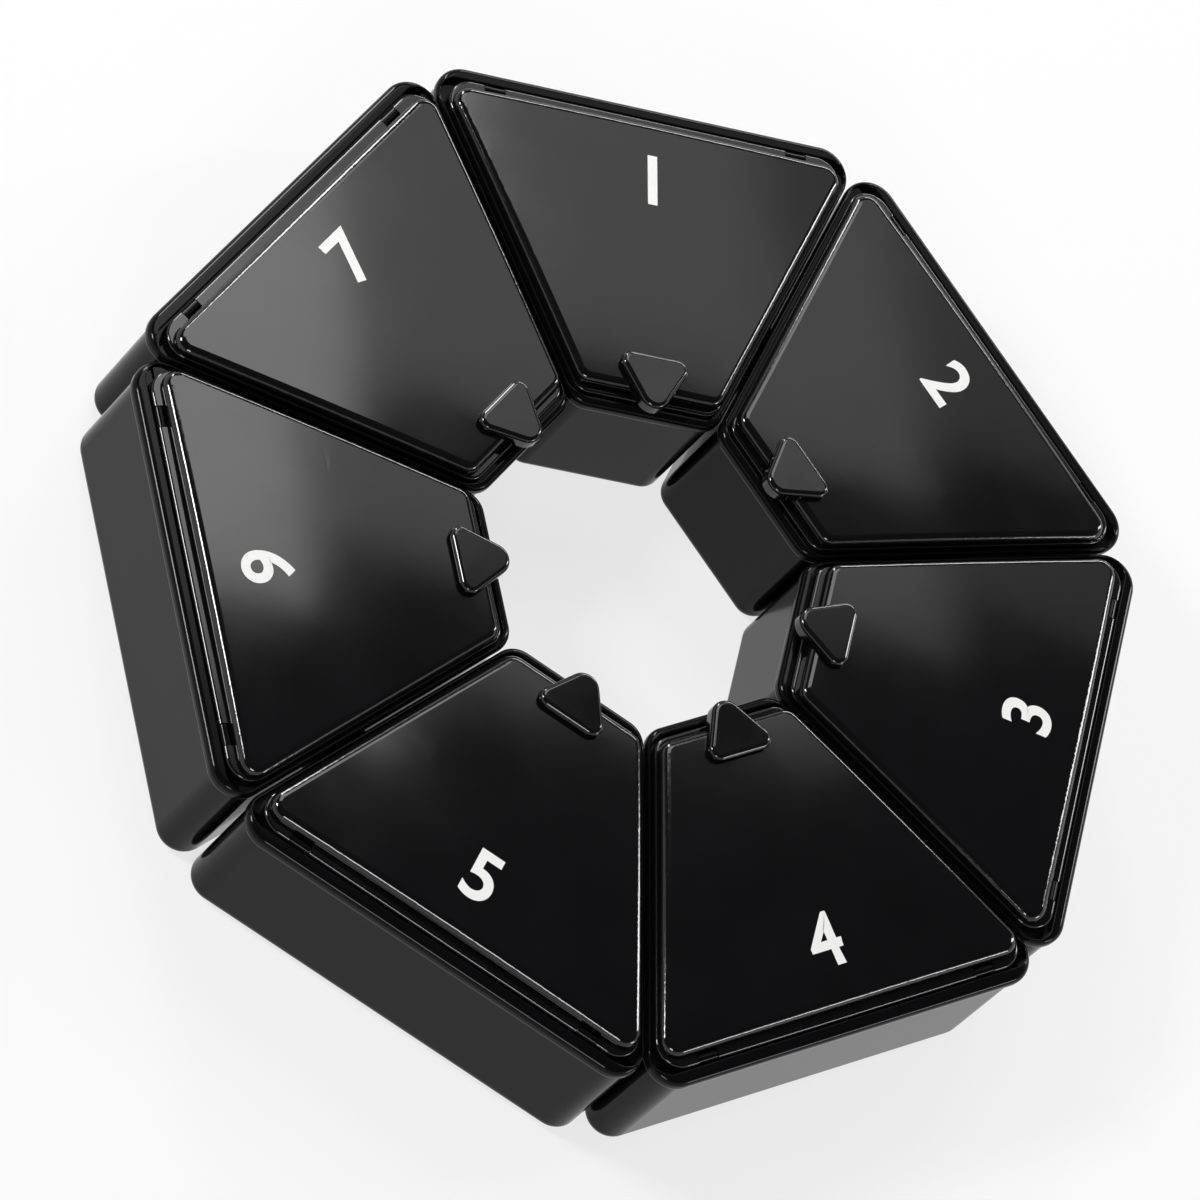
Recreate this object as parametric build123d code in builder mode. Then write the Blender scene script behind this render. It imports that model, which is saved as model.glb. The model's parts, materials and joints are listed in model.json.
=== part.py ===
"""Weekly pill box: a ring of seven lidded boxes round an open centre, in millimetres.

The origin is on the ring's axis, on the plane that the box rests on, with +Z up. Every piece is drawn
once, for the box that faces +Y, and is then turned about the axis to its places, clockwise from above.
"""
import os
from math import cos, radians, sin, tan

from build123d import *

# Ring: apothems are distances from the axis to the flat sides
box_count = 7
ring_apothem = 57.9
hole_apothem = 18.4
rim_height = 18.5
seam_gap = 0.2

# Tray
wall = 1.5
floor = 1.6
rim_overhang = 0.5
seam_overhang = 0.3
rim_depth = 2.0
rim_round = 0.8
outer_corner = 3.5
inner_corner = 3.0
base_round = 1.5
cavity_corner = 3.4
scoop_round = 2.2

# Rim round the lid: how wide the tray's rim is beside each edge of the lid
rim_width_outer = 1.6
rim_width_inner = 1.1
rim_width_side = 0.5
mouth_outer_corner = 2.0
mouth_round = 0.15

# Lid
lid_gap = 0.3
seat_gap = 0.1
flange_thickness = 0.9
flange_rise = 0.3
flange_round = 0.35
flange_width_inner = 0.8
flange_width_side = 0.2
flange_outer_corner = 2.8
flange_inner_corner = 2.2
panel_rise = 1.7
panel_corner = 2.0
panel_round = 1.0
crown_radius = 700.0
lid_thickness = 1.4
skirt_gap = 0.25
skirt_thickness = 1.0
skirt_depth = 1.5

# Hinge at the outer edge
pin_radius = 0.2
pin_fit = 0.02
running_gap = 0.05
barrel_wall = 0.3
knuckle_gap = 0.1
hinge_gap = 0.2
hinge_length = 40.0
lug_count = 2
lug_width = 2.4
lug_depth = 1.2
relief_gap = 0.25
pin_chamfer = 0.05

# Thumb tab
tab_width = 10.1
tab_length = 8.4
tab_overlap = 4.2
tab_tip_round = 1.9
tab_corner = 1.3
tab_proud = 1.1
tab_seat_depth = 0.5
tab_edge_round = 0.6
tab_fit = 0.05
nose_drop = 0.1
peg_radius = 0.9
peg_length = 1.0
peg_setback = 1.35

# Joining key across each seam
key_distance = 40.0
key_waist = 2.0
key_flare = 3.6
key_depth = 1.5
key_lift = 0.5
key_height = 11.5
key_fit = 0.05
key_cover = 1.2

# How far a cut runs past what it cuts
overrun = 1.0

# Values that follow from the sizes above
pitch = 360 / box_count
half_pitch = radians(pitch / 2)

wall_outer = ring_apothem - rim_overhang
wall_inner = hole_apothem + rim_overhang
wall_side = seam_gap / 2 + seam_overhang
wall_outer_corner = outer_corner - rim_overhang
wall_inner_corner = inner_corner - rim_overhang

mouth_outer = ring_apothem - rim_width_outer
mouth_inner = hole_apothem + rim_width_inner
mouth_side = seam_gap / 2 + rim_width_side
mouth_inner_corner = flange_inner_corner + lid_gap

barrel_radius = pin_radius + running_gap + barrel_wall
flange_outer = mouth_outer - hinge_gap
flange_inner = mouth_inner + lid_gap
flange_side = mouth_side + lid_gap
flange_top = rim_height + flange_rise
flange_bottom = flange_top - flange_thickness
ledge = flange_bottom - seat_gap

hinge_apothem = flange_outer - barrel_radius
hinge_height = flange_top - barrel_radius
relief_floor = hinge_height - barrel_radius - relief_gap
lug_spacing = (hinge_length - lug_width) / (lug_count - 1)
lug_starts = [index * lug_spacing - hinge_length / 2 for index in range(lug_count)]

panel_outer = hinge_apothem - barrel_radius - knuckle_gap
panel_inner = flange_inner + flange_width_inner
panel_side = flange_side + flange_width_side
panel_top = flange_top + panel_rise
panel_middle = (panel_outer + panel_inner) / 2

cavity_outer = wall_outer - wall
cavity_inner = wall_inner + wall
cavity_side = wall_side + wall
skirt_outer = panel_outer - skirt_gap
skirt_inner = cavity_inner + skirt_gap
skirt_side = cavity_side + skirt_gap
skirt_bottom = flange_bottom - skirt_depth
skirt_corner = cavity_corner - skirt_gap
pocket_corner = skirt_corner - skirt_thickness
pocket_top = panel_top - lid_thickness

edge_drop = (panel_outer - panel_inner) ** 2 / (8 * crown_radius)
tab_seat = panel_top - edge_drop - tab_seat_depth
tab_top = panel_top - edge_drop + tab_proud
tab_base = panel_inner + tab_overlap
tab_tip = tab_base - tab_length
peg_place = tab_base - peg_setback
nose_bottom = tab_seat - nose_drop

key_top = key_lift + key_height
boss_half = key_flare / 2 + key_cover


def wedge(height, outer, inner, side, outer_round, inner_round):
    """A box's outline at a height: flat outer and inner edges and two sides parallel to the seams."""
    outer_half = outer * tan(half_pitch) - side / cos(half_pitch)
    inner_half = inner * tan(half_pitch) - side / cos(half_pitch)
    with BuildSketch(Plane.XY.offset(height)) as outline:
        with BuildLine():
            Polyline(
                (-outer_half, outer),
                (outer_half, outer),
                (inner_half, inner),
                (-inner_half, inner),
                close=True,
            )
        make_face()
        fillet(outline.vertices().group_by(Axis.Y)[-1], outer_round)
        fillet(outline.vertices().group_by(Axis.Y)[0], inner_round)
    return outline.sketch


def on_seam(along, across):
    """The point that lies along a box's clockwise seam, and across it into the box."""
    return (
        along * sin(half_pitch) - across * cos(half_pitch),
        along * cos(half_pitch) + across * sin(half_pitch),
    )


def key_outline(height, spare):
    """The bow tie across a box's clockwise seam, grown by a spare gap."""
    waist = key_waist / 2
    flare = key_flare / 2
    with BuildSketch(Plane.XY.offset(height)) as outline:
        with BuildLine():
            Polyline(
                on_seam(key_distance - waist, 0),
                on_seam(key_distance - flare, key_depth),
                on_seam(key_distance + flare, key_depth),
                on_seam(key_distance + waist, 0),
                on_seam(key_distance + flare, -key_depth),
                on_seam(key_distance - flare, -key_depth),
                close=True,
            )
        make_face()
        if spare > 0:
            offset(amount=spare, kind=Kind.INTERSECTION)
    return outline.sketch


def tab_outline(height, spare):
    """The thumb tab's rounded triangle, grown by a spare gap, with its tip towards the ring's axis."""
    with BuildSketch(Plane.XY.offset(height)) as outline:
        with BuildLine():
            Polyline((-tab_width / 2, tab_base), (tab_width / 2, tab_base), (0, tab_tip), close=True)
        make_face()
        fillet(outline.vertices().group_by(Axis.Y)[-1], tab_corner)
        fillet(outline.vertices().sort_by(Axis.Y)[0], tab_tip_round)
        if spare > 0:
            offset(amount=spare)
    return outline.sketch


# Tray: rim bead and tub
with BuildPart() as tray:
    rim_bottom = rim_height - rim_depth
    rim = wedge(rim_bottom, ring_apothem, hole_apothem, seam_gap / 2, outer_corner, inner_corner)
    extrude(rim, amount=rim_depth)
    fillet(tray.edges().group_by(Axis.Z)[-1] + tray.edges().group_by(Axis.Z)[0], rim_round)
    tub = wedge(0, wall_outer, wall_inner, wall_side, wall_outer_corner, wall_inner_corner)
    extrude(tub, amount=rim_height - rim_round)
    fillet(tray.edges().group_by(Axis.Z)[0], base_round)

    # Cavity with a scooped floor
    cavity = wedge(floor, cavity_outer, cavity_inner, cavity_side, cavity_corner, cavity_corner)
    extrude(cavity, amount=rim_height, mode=Mode.SUBTRACT)
    fillet(tray.edges(Select.LAST).group_by(Axis.Z)[0], scoop_round)

    # Ledge that the lid closes on, and the deeper relief that the hinge turns in
    mouth = wedge(ledge, mouth_outer, mouth_inner, mouth_side, mouth_outer_corner, mouth_inner_corner)
    extrude(mouth, amount=rim_height, mode=Mode.SUBTRACT)
    fillet(tray.edges(Select.LAST).group_by(Axis.Z)[-1], mouth_round)
    with BuildSketch(Plane.XY.offset(relief_floor)):
        add(wedge(0, mouth_outer, mouth_inner, mouth_side, mouth_outer_corner, mouth_inner_corner))
        with Locations((0, panel_outer + ring_apothem / 2)):
            Rectangle(2 * ring_apothem, ring_apothem, mode=Mode.INTERSECT)
    extrude(amount=rim_height, mode=Mode.SUBTRACT)

    # Hinge lugs on the outer wall, with a sloped underside
    lug_inner = hinge_apothem - barrel_radius
    lug_outer = hinge_apothem + barrel_radius
    lug_low = hinge_height - lug_depth
    for lug_start in lug_starts:
        with BuildSketch(Plane.YZ.offset(lug_start)):
            with BuildLine():
                Polyline(
                    (lug_inner, hinge_height),
                    (lug_inner, lug_low),
                    (cavity_outer, lug_low - (cavity_outer - lug_inner)),
                    (lug_outer, lug_low - (cavity_outer - lug_inner)),
                    (lug_outer, hinge_height),
                    close=True,
                )
            make_face()
            with Locations((hinge_apothem, hinge_height)):
                Circle(barrel_radius)
        extrude(amount=lug_width)
    with BuildSketch(Plane.YZ.offset(-hinge_length / 2 - overrun)):
        with Locations((hinge_apothem, hinge_height)):
            Circle(pin_radius + pin_fit)
    extrude(amount=hinge_length + 2 * overrun, mode=Mode.SUBTRACT)

    # Bosses on both side walls, each with a slot for half of a joining key
    with BuildSketch(Plane.XY.offset(floor / 2)):
        with BuildLine():
            Polyline(
                on_seam(key_distance - boss_half, wall_side + wall / 2),
                on_seam(key_distance + boss_half, wall_side + wall / 2),
                on_seam(key_distance + boss_half, key_depth + key_cover),
                on_seam(key_distance - boss_half, key_depth + key_cover),
                close=True,
            )
        make_face()
        mirror(about=Plane.YZ)
    extrude(amount=key_top + key_fit + key_cover - floor / 2)
    with BuildSketch():
        add(key_outline(0, key_fit))
        mirror(about=Plane.YZ)
    extrude(amount=key_top + key_fit, mode=Mode.SUBTRACT)

# Lid: a flange with a crowned panel on it, a locating skirt below it and knuckles at its outer edge
with BuildPart() as lid:
    flange = wedge(
        flange_bottom, flange_outer, flange_inner, flange_side, flange_outer_corner, flange_inner_corner
    )
    extrude(flange, amount=flange_thickness)
    fillet(lid.edges().group_by(Axis.Z)[-1], flange_round)
    panel = wedge(flange_bottom, panel_outer, panel_inner, panel_side, panel_corner, panel_corner)
    extrude(panel, amount=panel_top + overrun - flange_bottom)
    with Locations((0, panel_middle, panel_top - crown_radius)):
        Sphere(crown_radius, mode=Mode.INTERSECT)
    fillet(lid.faces().sort_by(Axis.Z)[-1].edges(), panel_round)

    # Skirt that drops into the tray's mouth, hollow up to the underside of the panel
    skirt = wedge(skirt_bottom, skirt_outer, skirt_inner, skirt_side, skirt_corner, skirt_corner)
    extrude(skirt, amount=skirt_depth)
    pocket = wedge(
        skirt_bottom,
        skirt_outer - skirt_thickness,
        skirt_inner + skirt_thickness,
        skirt_side + skirt_thickness,
        pocket_corner,
        pocket_corner,
    )
    extrude(pocket, amount=pocket_top - skirt_bottom, mode=Mode.SUBTRACT)

    # Notches that clear the tray's lugs, and the knuckles between them
    notch_length = flange_outer + overrun - panel_outer
    with BuildSketch(Plane.XY.offset(flange_bottom - overrun)):
        for lug_start in lug_starts:
            with Locations((lug_start + lug_width / 2, panel_outer + notch_length / 2)):
                Rectangle(lug_width + 2 * knuckle_gap, notch_length)
    extrude(amount=flange_thickness + 2 * overrun, mode=Mode.SUBTRACT)
    for lug_start in lug_starts[:-1]:
        with BuildSketch(Plane.YZ.offset(lug_start + lug_width + knuckle_gap)):
            with Locations((hinge_apothem, hinge_height)):
                Circle(barrel_radius)
        extrude(amount=lug_spacing - lug_width - 2 * knuckle_gap)
    with BuildSketch(Plane.YZ.offset(-hinge_length / 2)):
        with Locations((hinge_apothem, hinge_height)):
            Circle(pin_radius + running_gap)
    extrude(amount=hinge_length, mode=Mode.SUBTRACT)

    # Seat and peg hole for the thumb tab
    extrude(tab_outline(tab_seat, tab_fit), amount=tab_top - tab_seat, mode=Mode.SUBTRACT)
    with BuildSketch(Plane.XY.offset(pocket_top - overrun)):
        with Locations((0, peg_place)):
            Circle(peg_radius + tab_fit)
    extrude(amount=tab_seat + overrun - pocket_top, mode=Mode.SUBTRACT)

# Thumb tab: its rear half lies in the lid's seat, and its nose drops in front of the panel over the rim
with BuildPart() as thumb_tab:
    extrude(tab_outline(nose_bottom, 0), amount=tab_top - nose_bottom)
    fillet(thumb_tab.edges().group_by(Axis.Z)[-1], tab_edge_round)
    nose_rear = panel_inner - tab_fit
    step_length = tab_base + overrun - nose_rear
    with BuildSketch(Plane.XY.offset(nose_bottom)):
        with Locations((0, nose_rear + step_length / 2)):
            Rectangle(tab_width + overrun, step_length)
    extrude(amount=tab_seat - nose_bottom, mode=Mode.SUBTRACT)
    with BuildSketch(Plane.XY.offset(tab_seat - peg_length)):
        with Locations((0, peg_place)):
            Circle(peg_radius)
    extrude(amount=peg_length)

# Hinge pin: a wire from the first lug to the last
with BuildPart() as hinge_pin:
    with BuildSketch(Plane.YZ.offset(-hinge_length / 2)):
        with Locations((hinge_apothem, hinge_height)):
            Circle(pin_radius)
    extrude(amount=hinge_length)
    chamfer(hinge_pin.edges().filter_by(GeomType.CIRCLE), pin_chamfer)

# Joining key in the clockwise seam
with BuildPart() as joining_key:
    extrude(key_outline(key_lift, 0), amount=key_height)

# Each piece is turned to its place in the ring and written as its own node
os.makedirs("parts", exist_ok=True)
pieces = {
    "tray": tray,
    "lid": lid,
    "thumb_tab": thumb_tab,
    "hinge_pin": hinge_pin,
    "joining_key": joining_key,
}
for place in range(box_count):
    for name, piece in pieces.items():
        node = piece.part.rotate(Axis.Z, -place * pitch)
        node.label = f"{name}_{place + 1}"
        export_step(node, f"parts/{node.label}.step")
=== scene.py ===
"""Looks of a weekly pill box: seven black lidded boxes joined in a ring, with a white numeral on each lid.

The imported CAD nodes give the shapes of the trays, lids, thumb tabs, hinge pins and joining keys. This
file gives each of them its finish, prints the numerals on the lids, and sets the floor, the lamps and
the camera. The box's sizes and the camera's place are in millimetres and become metres where they are
used. The floor's and the lamps' sizes are in metres.
"""

import json
import logging
import math
from dataclasses import dataclass, field
from enum import Enum

import bmesh
import bpy
from mathutils import Matrix, Quaternion, Vector

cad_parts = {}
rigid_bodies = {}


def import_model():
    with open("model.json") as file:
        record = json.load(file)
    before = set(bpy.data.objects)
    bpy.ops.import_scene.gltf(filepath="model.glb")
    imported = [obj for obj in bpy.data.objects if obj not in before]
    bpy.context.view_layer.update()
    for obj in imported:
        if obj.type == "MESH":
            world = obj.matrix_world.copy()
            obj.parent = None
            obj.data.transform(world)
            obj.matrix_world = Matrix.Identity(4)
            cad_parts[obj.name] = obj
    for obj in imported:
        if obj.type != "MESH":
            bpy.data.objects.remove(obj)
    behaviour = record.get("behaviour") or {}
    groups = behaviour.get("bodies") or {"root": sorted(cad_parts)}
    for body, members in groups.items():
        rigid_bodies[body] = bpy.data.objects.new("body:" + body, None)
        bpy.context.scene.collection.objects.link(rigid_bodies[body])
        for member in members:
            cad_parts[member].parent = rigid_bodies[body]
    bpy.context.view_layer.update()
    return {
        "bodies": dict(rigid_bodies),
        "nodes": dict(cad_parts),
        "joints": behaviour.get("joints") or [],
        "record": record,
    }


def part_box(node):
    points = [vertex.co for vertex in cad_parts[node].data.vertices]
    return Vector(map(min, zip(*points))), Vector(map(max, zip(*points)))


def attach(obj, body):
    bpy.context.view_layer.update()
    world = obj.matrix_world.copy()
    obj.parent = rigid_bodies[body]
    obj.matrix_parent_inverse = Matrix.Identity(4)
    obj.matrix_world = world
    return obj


LOG = logging.getLogger("pill_box")
MM = 0.001
BOX_COUNT = 7
OUTWARD_PLACES = (7, 1, 2)

Socket = bpy.types.NodeSocket
Colour = tuple[float, float, float, float]


def linear(code: str) -> Colour:
    """Turns an sRGB hex colour into linear light.

    Args:
        code: the colour as "#RRGGBB".

    Returns:
        Red, green, blue and an alpha of 1.
    """
    shares = [int(code[start:start + 2], 16) / 255 for start in (1, 3, 5)]
    red, green, blue = (s / 12.92 if s <= 0.04045 else ((s + 0.055) / 1.055) ** 2.4 for s in shares)
    return red, green, blue, 1.0


def add_node(
    tree: bpy.types.NodeTree, kind: str, inputs: dict | None = None, **settings: object
) -> bpy.types.Node:
    """Adds one node with its settings, values and links.

    Args:
        tree: the node tree that takes the node.
        kind: the node's Blender type name.
        inputs: a value or another node's output for each input socket, by the socket's name or number.
        settings: the node's own properties.

    Returns:
        The new node.
    """
    node = tree.nodes.new(kind)
    for name, value in settings.items():
        setattr(node, name, value)
    for key, value in (inputs or {}).items():
        if isinstance(value, Socket):
            tree.links.new(value, node.inputs[key])
        else:
            node.inputs[key].default_value = value
    return node


def new_material(name: str) -> tuple[bpy.types.Material, bpy.types.NodeTree]:
    """Makes an empty node material.

    Args:
        name: the material's name.

    Returns:
        The material and its node tree, with no nodes in it.
    """
    material = bpy.data.materials.new(name)
    material.use_nodes = True
    material.node_tree.nodes.clear()
    return material, material.node_tree


def per_metre(size_mm: float) -> float:
    """The noise scale whose features are about a size in millimetres."""
    return 1 / (size_mm * MM)


@dataclass(frozen=True)
class MouldedGlossAbs:
    """Black ABS moulded against a polished tool: deep black, mirror gloss with a faint orange peel.

    Soft haze patches show where the melt cooled unevenly.
    """

    name: str
    colour: str = "#09090A"
    haze_colour: str = "#0E0E10"
    ior: float = 1.54
    polish_roughness: float = 0.085
    haze_roughness: float = 0.11
    haze_size: float = 11.0
    haze_detail: float = 3.0
    haze_falloff: float = 0.55
    haze_starts: float = 0.35
    haze_full: float = 0.7
    peel_size: float = 1.7
    peel_detail: float = 2.0
    peel_height: float = 0.0006

    def build(self) -> bpy.types.Material:
        """Makes the material.

        Returns:
            The finished material.
        """
        material, tree = new_material(self.name)
        place = add_node(tree, "ShaderNodeTexCoord")
        haze = add_node(tree, "ShaderNodeTexNoise", {
            "Vector": place.outputs["Object"], "Scale": per_metre(self.haze_size),
            "Detail": self.haze_detail, "Roughness": self.haze_falloff})
        tint = add_node(tree, "ShaderNodeMix", {
            "Factor": haze.outputs["Fac"], "A": linear(self.colour), "B": linear(self.haze_colour)},
            data_type="RGBA")
        polish = add_node(tree, "ShaderNodeMapRange", {
            "Value": haze.outputs["Fac"], "From Min": self.haze_starts, "From Max": self.haze_full,
            "To Min": self.polish_roughness, "To Max": self.haze_roughness})
        peel = add_node(tree, "ShaderNodeTexNoise", {
            "Vector": place.outputs["Object"], "Scale": per_metre(self.peel_size),
            "Detail": self.peel_detail})
        relief = add_node(tree, "ShaderNodeBump", {
            "Strength": 1.0, "Distance": self.peel_height * MM, "Height": peel.outputs["Fac"]})
        plastic = add_node(tree, "ShaderNodeBsdfPrincipled", {
            "Base Color": tint.outputs["Result"], "Roughness": polish.outputs["Result"],
            "IOR": self.ior, "Normal": relief.outputs["Normal"]})
        add_node(tree, "ShaderNodeOutputMaterial", {"Surface": plastic.outputs["BSDF"]})
        return material


@dataclass(frozen=True)
class SparkErodedAbs:
    """Black ABS moulded against a spark-eroded tool: an even satin grain with no clear reflection.

    The real grain is about 0.05 mm; it is drawn at 0.25 mm, so that it shows.
    """

    name: str
    colour: str = "#131314"
    grain_colour: str = "#1B1B1D"
    ior: float = 1.54
    roughness: float = 0.48
    grain_size: float = 0.25
    grain_detail: float = 2.0
    grain_height: float = 0.006

    def build(self) -> bpy.types.Material:
        """Makes the material.

        Returns:
            The finished material.
        """
        material, tree = new_material(self.name)
        place = add_node(tree, "ShaderNodeTexCoord")
        grain = add_node(tree, "ShaderNodeTexNoise", {
            "Vector": place.outputs["Object"], "Scale": per_metre(self.grain_size),
            "Detail": self.grain_detail})
        tint = add_node(tree, "ShaderNodeMix", {
            "Factor": grain.outputs["Fac"], "A": linear(self.colour), "B": linear(self.grain_colour)},
            data_type="RGBA")
        relief = add_node(tree, "ShaderNodeBump", {
            "Strength": 1.0, "Distance": self.grain_height * MM, "Height": grain.outputs["Fac"]})
        plastic = add_node(tree, "ShaderNodeBsdfPrincipled", {
            "Base Color": tint.outputs["Result"], "Roughness": self.roughness,
            "IOR": self.ior, "Normal": relief.outputs["Normal"]})
        add_node(tree, "ShaderNodeOutputMaterial", {"Surface": plastic.outputs["BSDF"]})
        return material


@dataclass(frozen=True)
class DrawnSteelWire:
    """Stainless spring wire, cold drawn: bright, with the die's fine marks, which are drawn as a mottle."""

    name: str
    colour: str = "#B9BABD"
    mark_colour: str = "#9A9B9F"
    low_roughness: float = 0.2
    high_roughness: float = 0.36
    mark_size: float = 0.12
    mark_detail: float = 2.0

    def build(self) -> bpy.types.Material:
        """Makes the material.

        Returns:
            The finished material.
        """
        material, tree = new_material(self.name)
        place = add_node(tree, "ShaderNodeTexCoord")
        marks = add_node(tree, "ShaderNodeTexNoise", {
            "Vector": place.outputs["Object"], "Scale": per_metre(self.mark_size),
            "Detail": self.mark_detail})
        tint = add_node(tree, "ShaderNodeMix", {
            "Factor": marks.outputs["Fac"], "A": linear(self.colour), "B": linear(self.mark_colour)},
            data_type="RGBA")
        polish = add_node(tree, "ShaderNodeMapRange", {
            "Value": marks.outputs["Fac"], "To Min": self.low_roughness, "To Max": self.high_roughness})
        steel = add_node(tree, "ShaderNodeBsdfPrincipled", {
            "Base Color": tint.outputs["Result"], "Metallic": 1.0,
            "Roughness": polish.outputs["Result"]})
        add_node(tree, "ShaderNodeOutputMaterial", {"Surface": steel.outputs["BSDF"]})
        return material


@dataclass(frozen=True)
class PadPrintedInk:
    """White pad-printing ink, air dried: opaque and semi-matt, with a faint mottle from the soft pad."""

    name: str
    colour: str = "#F3F3F1"
    mottle_colour: str = "#E9E9E7"
    roughness: float = 0.42
    mottle_size: float = 0.7
    mottle_detail: float = 3.0
    mottle_height: float = 0.002

    def build(self) -> bpy.types.Material:
        """Makes the material.

        Returns:
            The finished material.
        """
        material, tree = new_material(self.name)
        place = add_node(tree, "ShaderNodeTexCoord")
        mottle = add_node(tree, "ShaderNodeTexNoise", {
            "Vector": place.outputs["Object"], "Scale": per_metre(self.mottle_size),
            "Detail": self.mottle_detail})
        tint = add_node(tree, "ShaderNodeMix", {
            "Factor": mottle.outputs["Fac"], "A": linear(self.colour), "B": linear(self.mottle_colour)},
            data_type="RGBA")
        relief = add_node(tree, "ShaderNodeBump", {
            "Strength": 1.0, "Distance": self.mottle_height * MM, "Height": mottle.outputs["Fac"]})
        ink = add_node(tree, "ShaderNodeBsdfPrincipled", {
            "Base Color": tint.outputs["Result"], "Roughness": self.roughness,
            "Normal": relief.outputs["Normal"]})
        add_node(tree, "ShaderNodeOutputMaterial", {"Surface": ink.outputs["BSDF"]})
        return material


@dataclass(frozen=True)
class FloorPaper:
    """Matt white background paper, which the camera and reflections see as white with a soft shadow."""

    name: str
    colour: str = "#F2F2F2"
    glow_share: float = 0.75

    def build(self) -> bpy.types.Material:
        """Makes the material.

        Returns:
            The finished material.
        """
        material, tree = new_material(self.name)
        ray = add_node(tree, "ShaderNodeLightPath")
        seen = add_node(tree, "ShaderNodeMath", {
            0: ray.outputs["Is Camera Ray"], 1: ray.outputs["Is Glossy Ray"]}, operation="MAXIMUM")
        shown = add_node(tree, "ShaderNodeMath", {
            0: seen.outputs["Value"], 1: ray.outputs["Is Transmission Ray"]}, operation="MAXIMUM")
        share = add_node(tree, "ShaderNodeMath", {
            0: shown.outputs["Value"], 1: self.glow_share}, operation="MULTIPLY")
        paper = add_node(tree, "ShaderNodeBsdfDiffuse", {"Color": linear(self.colour)})
        white = add_node(tree, "ShaderNodeEmission", {"Color": linear("#FFFFFF"), "Strength": 1.0})
        mixed = add_node(tree, "ShaderNodeMixShader", {
            "Fac": share.outputs["Value"], 1: paper.outputs["BSDF"], 2: white.outputs["Emission"]})
        add_node(tree, "ShaderNodeOutputMaterial", {"Surface": mixed.outputs["Shader"]})
        return material


class Reading(Enum):
    """Which way the top of a lid's numeral points."""

    OUTWARD = 0.0
    INWARD = math.pi


@dataclass
class Finishes:
    """The box's materials, one for each of the record's slots."""

    tray: bpy.types.Material = field(init=False)
    lid: bpy.types.Material = field(init=False)
    tab: bpy.types.Material = field(init=False)
    key: bpy.types.Material = field(init=False)
    pin: bpy.types.Material = field(init=False)
    ink: bpy.types.Material = field(init=False)

    def __post_init__(self) -> None:
        """Makes every material once."""
        # The tray's index is below that of ABS, to match how little of the pale floor its real walls reflect
        self.tray = MouldedGlossAbs(
            "moulded gloss ABS, tray", ior=1.22, polish_roughness=0.1, haze_roughness=0.13).build()
        self.lid = MouldedGlossAbs("moulded gloss ABS, lid").build()
        self.tab = MouldedGlossAbs(
            "moulded gloss ABS, thumb tab", colour="#0C0C0D", haze_roughness=0.14).build()
        self.key = SparkErodedAbs("spark-eroded ABS, joining key").build()
        self.pin = DrawnSteelWire("drawn steel wire, hinge pin").build()
        self.ink = PadPrintedInk("pad-printed white ink, numeral").build()


@dataclass
class BoxTray:
    """One tray of the ring, with its hinge pin and the key that joins it to the next tray."""

    place: int
    frame: dict

    def dress(self, finishes: Finishes) -> None:
        """Gives the tray, pin and key their finishes.

        Args:
            finishes: the box's materials.
        """
        pieces = {"tray": finishes.tray, "hinge_pin": finishes.pin, "joining_key": finishes.key}
        for stem, material in pieces.items():
            paint(self.frame["nodes"][f"{stem}_{self.place}"], material)


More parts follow.
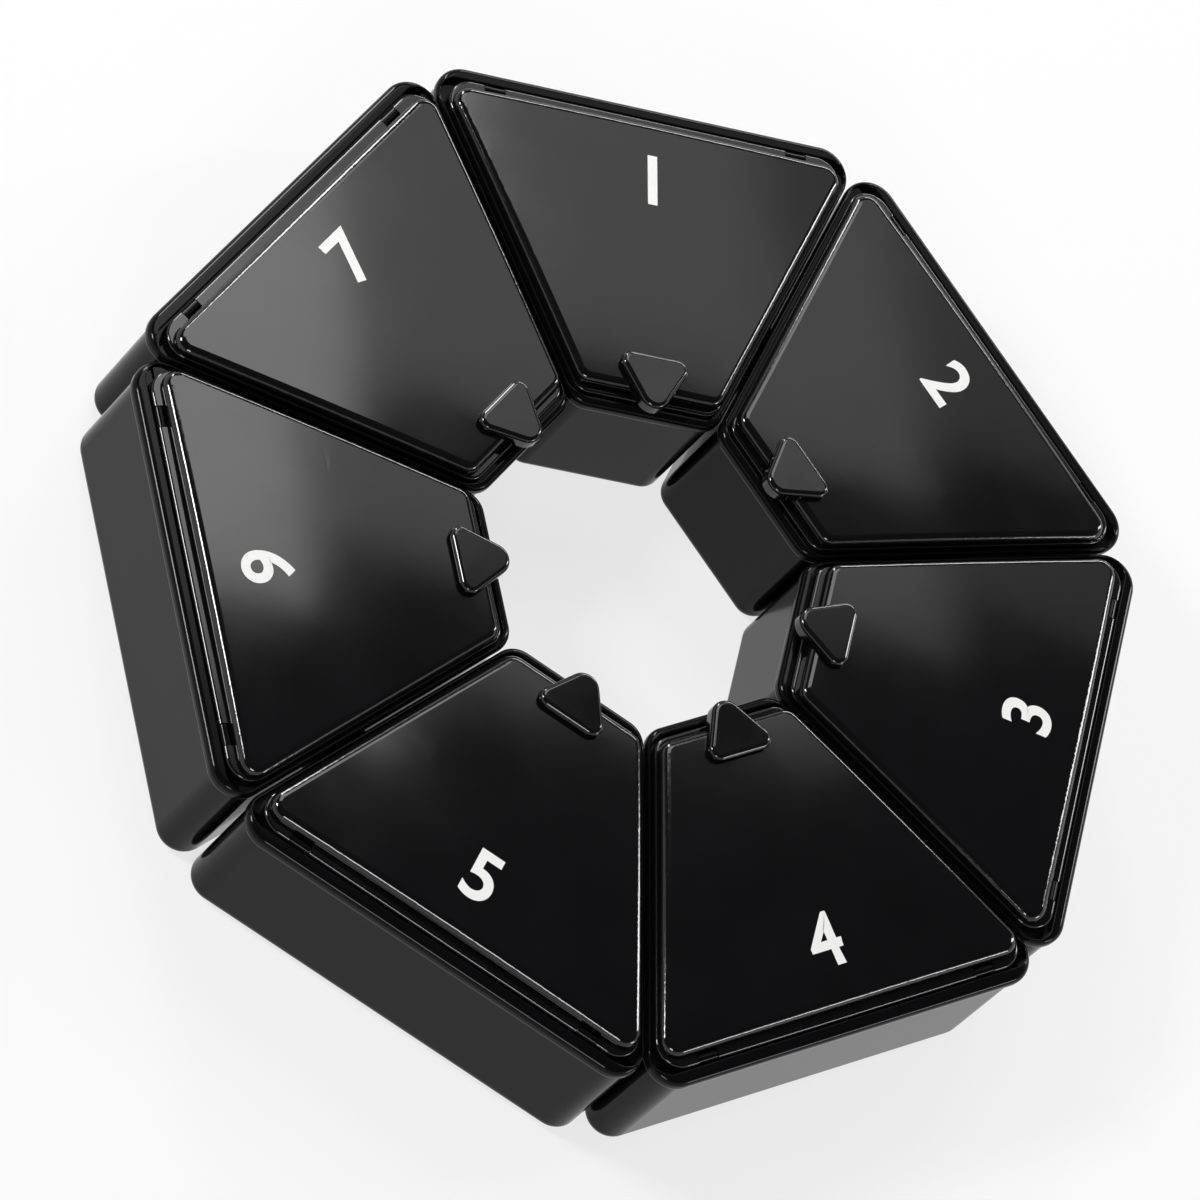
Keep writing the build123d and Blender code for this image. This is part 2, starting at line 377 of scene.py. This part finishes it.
@dataclass
class BoxLid:
    """One hinged lid, with its thumb tab and the numeral printed on it.

    The numeral's weight is how far each of its edges moves out to make it bold. The draft's depth is in
    the font's own units, and goes when the ink gets its thickness.
    """

    place: int
    frame: dict
    reading: Reading
    numeral_height: float = 6.3
    numeral_apothem: float = 47.4
    numeral_weight: float = 0.16
    sharpest_miter: float = 0.4
    ink_proud: float = 0.03
    ink_sunk: float = 0.06
    curve_steps: int = 10
    draft_depth: float = 0.5
    weld_share: float = 0.01
    upright_limit: float = 0.5
    cast_clearance: float = 10.0

    @property
    def turn(self) -> Matrix:
        """The turn from the place at +Y to this place, clockwise from above."""
        return Matrix.Rotation(-(self.place - 1) * 2 * math.pi / BOX_COUNT, 4, "Z")

    def dress(self, finishes: Finishes) -> None:
        """Gives the lid and its tab their finishes.

        Args:
            finishes: the box's materials.
        """
        pieces = {"lid": finishes.lid, "thumb_tab": finishes.tab}
        for stem, material in pieces.items():
            paint(self.frame["nodes"][f"{stem}_{self.place}"], material)

    def print_numeral(self, finishes: Finishes) -> bpy.types.Object:
        """Prints the place's number on the crowned panel, as a thin layer of ink.

        Args:
            finishes: the box's materials.

        Returns:
            The numeral, riding on the lid.
        """
        lettering = bpy.data.curves.new(f"lettering_{self.place}", "FONT")
        lettering.body = str(self.place)
        lettering.resolution_u = self.curve_steps
        lettering.extrude = self.draft_depth
        draft = bpy.data.objects.new(f"draft_{self.place}", lettering)
        bpy.context.scene.collection.objects.link(draft)
        bpy.context.view_layer.update()
        drawn = draft.evaluated_get(bpy.context.evaluated_depsgraph_get())
        mesh = bpy.data.meshes.new_from_object(drawn)
        bpy.data.objects.remove(draft)
        mesh.name = f"numeral_{self.place}"

        corners = [vertex.co for vertex in mesh.vertices]
        low = Vector([min(c[axis] for c in corners) for axis in range(3)])
        high = Vector([max(c[axis] for c in corners) for axis in range(3)])
        scale = (self.numeral_height - 2 * self.numeral_weight) * MM / (high.y - low.y)
        thickness = (self.ink_proud + self.ink_sunk) * MM
        for vertex in mesh.vertices:
            depth = (vertex.co.z - low.z) / (high.z - low.z)
            flat = (vertex.co - (low + high) / 2) * scale
            vertex.co = (flat.x, flat.y, depth * thickness - self.ink_sunk * MM)
        layer = bmesh.new()
        layer.from_mesh(mesh)
        bmesh.ops.remove_doubles(layer, verts=layer.verts, dist=thickness * self.weld_share)
        bmesh.ops.recalc_face_normals(layer, faces=layer.faces)
        self.thicken(layer)
        layer.to_mesh(mesh)
        layer.free()

        spot, up = self.panel_at(self.turn @ Vector((0.0, self.numeral_apothem * MM, 0.0)))
        tilt = Vector((0.0, 0.0, 1.0)).rotation_difference(up).to_matrix().to_4x4()
        spin = Matrix.Rotation(self.reading.value, 4, "Z")
        numeral = bpy.data.objects.new(f"numeral_{self.place}", mesh)
        bpy.context.scene.collection.objects.link(numeral)
        numeral.matrix_world = Matrix.Translation(spot) @ tilt @ self.turn @ spin
        paint(numeral, finishes.ink)
        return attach(numeral, f"lid_{self.place}")

    def thicken(self, layer: bmesh.types.BMesh) -> None:
        """Makes the numeral bold, by moving its edges sideways.

        Args:
            layer: the numeral's closed mesh, flat in its own XY plane.
        """
        moves: dict[bmesh.types.BMVert, Vector] = {}
        for vertex in layer.verts:
            normals = [face.normal for face in vertex.link_faces]
            sides = [normal for normal in normals if abs(normal.z) < self.upright_limit]
            first = sides[0]
            last = max(sides, key=lambda normal: (normal - first).length)
            miter = max(1 + first.dot(last), self.sharpest_miter)
            moves[vertex] = (first + last) * self.numeral_weight * MM / miter
        for vertex, move in moves.items():
            vertex.co += move

    def panel_at(self, spot: Vector) -> tuple[Vector, Vector]:
        """Finds the panel's surface above a point of the floor.

        Args:
            spot: the point, in metres.

        Returns:
            The point on the panel and the panel's normal there.
        """
        node = self.frame["nodes"][f"lid_{self.place}"]
        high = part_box(f"lid_{self.place}")[1][2] + self.cast_clearance * MM
        start, down = Vector((spot.x, spot.y, high)), Vector((0.0, 0.0, -1.0))
        found, where, normal, _ = node.ray_cast(start, down)
        if not found:
            raise ValueError(f"lid {self.place} has no panel above its numeral")
        return where, normal


def paint(piece: bpy.types.Object, material: bpy.types.Material) -> None:
    """Puts one material on all of a piece.

    Args:
        piece: the CAD node or scene piece.
        material: its finish.
    """
    if not piece.material_slots:
        piece.data.materials.append(material)
    for slot in piece.material_slots:
        slot.material = material


@dataclass(frozen=True)
class Softbox:
    """A flat studio lamp that faces the box, placed by its bearing from the ring's axis.

    The bearing is in degrees from +X, anticlockwise from above. Radiance is how bright its face is,
    where 1 is paper white.
    """

    name: str
    bearing: float
    elevation: float
    distance: float
    width: float
    height: float
    radiance: float

    def build(self, aim: Vector) -> bpy.types.Object:
        """Makes the lamp.

        Args:
            aim: the point that it faces.

        Returns:
            The lamp.
        """
        lamp = bpy.data.lights.new(self.name, "AREA")
        lamp.shape = "RECTANGLE"
        lamp.size, lamp.size_y = self.width, self.height
        lamp.energy = self.radiance * math.pi * self.width * self.height
        bearing, elevation = math.radians(self.bearing), math.radians(self.elevation)
        level = math.cos(elevation)
        away = Vector((math.cos(bearing) * level, math.sin(bearing) * level, math.sin(elevation)))
        stand = bpy.data.objects.new(self.name, lamp)
        stand.location = aim + away * self.distance
        stand.rotation_mode = "QUATERNION"
        stand.rotation_quaternion = (-away).to_track_quat("-Z", "Y")
        bpy.context.scene.collection.objects.link(stand)
        return stand


@dataclass(frozen=True)
class CeilingPanel:
    """A flat lamp that hangs level above the box and faces down.

    Its edges are distances from the ring's axis along X and Y.
    """

    name: str
    left: float
    right: float
    front: float
    back: float
    height: float
    radiance: float

    def build(self) -> bpy.types.Object:
        """Makes the lamp.

        Returns:
            The lamp.
        """
        lamp = bpy.data.lights.new(self.name, "AREA")
        lamp.shape = "RECTANGLE"
        lamp.size, lamp.size_y = self.right - self.left, self.back - self.front
        lamp.energy = self.radiance * math.pi * lamp.size * lamp.size_y
        stand = bpy.data.objects.new(self.name, lamp)
        stand.location = ((self.left + self.right) / 2, (self.front + self.back) / 2, self.height)
        bpy.context.scene.collection.objects.link(stand)
        return stand


@dataclass
class Studio:
    """The floor, the lamps, the dim surroundings and the camera."""

    floor_reach: float = 3.0
    cove_radius: float = 0.5
    cove_steps: int = 12
    sweep_steps: int = 96
    backdrop_height: float = 1.8
    surroundings: str = "#3A3A3C"
    surroundings_strength: float = 1.0
    lens: float = 280.1
    camera_place: tuple[float, float, float] = (-391.0, -455.0, 865.8)
    camera_aim: tuple[float, float, float] = (-6.42, -6.54, 20.2)
    camera_roll: float = 46.3
    sight_reach: float = 20.0
    panels: tuple[CeilingPanel, ...] = (
        CeilingPanel("left ceiling panel", left=-0.3, right=0.318, front=0.43, back=0.95, height=0.92,
                     radiance=3.5),
        CeilingPanel("back ceiling panel", left=0.318, right=0.5, front=0.485, back=1.0, height=0.92,
                     radiance=1.15),
        CeilingPanel("far ceiling panel", left=0.5, right=0.64, front=0.53, back=1.0, height=0.92,
                     radiance=0.5),
    )
    softboxes: tuple[Softbox, ...] = (
        Softbox("left softbox", bearing=165, elevation=38, distance=0.9, width=0.18,
                height=0.18, radiance=45.0),
        Softbox("back left strip", bearing=102, elevation=25, distance=1.0, width=0.12,
                height=0.4, radiance=18.0),
        Softbox("back strip", bearing=60, elevation=18, distance=1.1, width=0.6,
                height=0.1, radiance=18.0),
        Softbox("right strip", bearing=22, elevation=27, distance=1.0, width=0.1,
                height=0.4, radiance=18.0),
        Softbox("front right strip", bearing=328, elevation=14, distance=1.0, width=0.3,
                height=0.1, radiance=16.0),
        Softbox("front softbox", bearing=254, elevation=36, distance=1.0, width=0.25,
                height=0.18, radiance=14.0),
    )

    def lay_floor(self) -> bpy.types.Object:
        """Lays the paper that the box stands on, swept up all round into a low backdrop.

        Returns:
            The floor.
        """
        profile = [(self.floor_reach, 0.0)]
        for step in range(1, self.cove_steps + 1):
            turn = math.pi / 2 * step / self.cove_steps
            profile.append((self.floor_reach + self.cove_radius * math.sin(turn),
                            self.cove_radius * (1 - math.cos(turn))))
        profile.append((self.floor_reach + self.cove_radius, self.backdrop_height))
        sheet = bmesh.new()
        turns = [2 * math.pi * step / self.sweep_steps for step in range(self.sweep_steps)]
        rings = [
            [sheet.verts.new((reach * math.cos(turn), reach * math.sin(turn), height)) for turn in turns]
            for reach, height in profile
        ]
        sheet.faces.new(rings[0])
        for low, high in zip(rings, rings[1:]):
            for step in range(self.sweep_steps):
                sheet.faces.new((low[step - 1], low[step], high[step], high[step - 1]))
        mesh = bpy.data.meshes.new("floor")
        sheet.to_mesh(mesh)
        sheet.free()
        floor = bpy.data.objects.new("floor", mesh)
        bpy.context.scene.collection.objects.link(floor)
        paint(floor, FloorPaper("matt white paper, floor").build())
        return floor

    def light(self) -> None:
        """Hangs the lamps and dims the surroundings."""
        aim = Vector(self.camera_aim) * MM
        for panel in self.panels:
            LOG.info("%s hung", panel.build().name)
        for softbox in self.softboxes:
            LOG.info("%s hung", softbox.build(aim).name)
        world = bpy.data.worlds.new("dim studio")
        world.use_nodes = True
        world.node_tree.nodes.clear()
        sky = add_node(world.node_tree, "ShaderNodeBackground", {
            "Color": linear(self.surroundings), "Strength": self.surroundings_strength})
        add_node(world.node_tree, "ShaderNodeOutputWorld", {"Surface": sky.outputs["Background"]})
        bpy.context.scene.world = world

    def set_camera(self) -> bpy.types.Object:
        """Sets the camera at the photograph's viewing angle.

        Returns:
            The camera.
        """
        camera = bpy.data.objects.new("camera", bpy.data.cameras.new("camera"))
        bpy.context.scene.collection.objects.link(camera)
        camera.data.lens = self.lens
        camera.data.clip_end = self.sight_reach
        place, aim = Vector(self.camera_place) * MM, Vector(self.camera_aim) * MM
        camera.location = place
        camera.rotation_mode = "QUATERNION"
        camera.rotation_quaternion = (aim - place).to_track_quat("-Z", "Y") @ Quaternion(
            (0.0, 0.0, 1.0), math.radians(self.camera_roll))
        bpy.context.scene.camera = camera
        bpy.context.scene.view_settings.view_transform = "Standard"
        return camera


def main() -> None:
    """Loads the frame, dresses every piece and sets the studio."""
    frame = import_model()
    finishes = Finishes()
    for place in range(1, BOX_COUNT + 1):
        BoxTray(place, frame).dress(finishes)
        LOG.info("tray_%d, hinge_pin_%d and joining_key_%d dressed", place, place, place)
        reading = Reading.OUTWARD if place in OUTWARD_PLACES else Reading.INWARD
        lid = BoxLid(place, frame, reading)
        lid.dress(finishes)
        numeral = lid.print_numeral(finishes)
        LOG.info("lid_%d and thumb_tab_%d dressed, %s printed", place, place, numeral.name)
    studio = Studio()
    studio.lay_floor()
    studio.light()
    studio.set_camera()


if __name__ == "__main__":
    logging.basicConfig(level=logging.INFO, format="%(message)s")
    main()
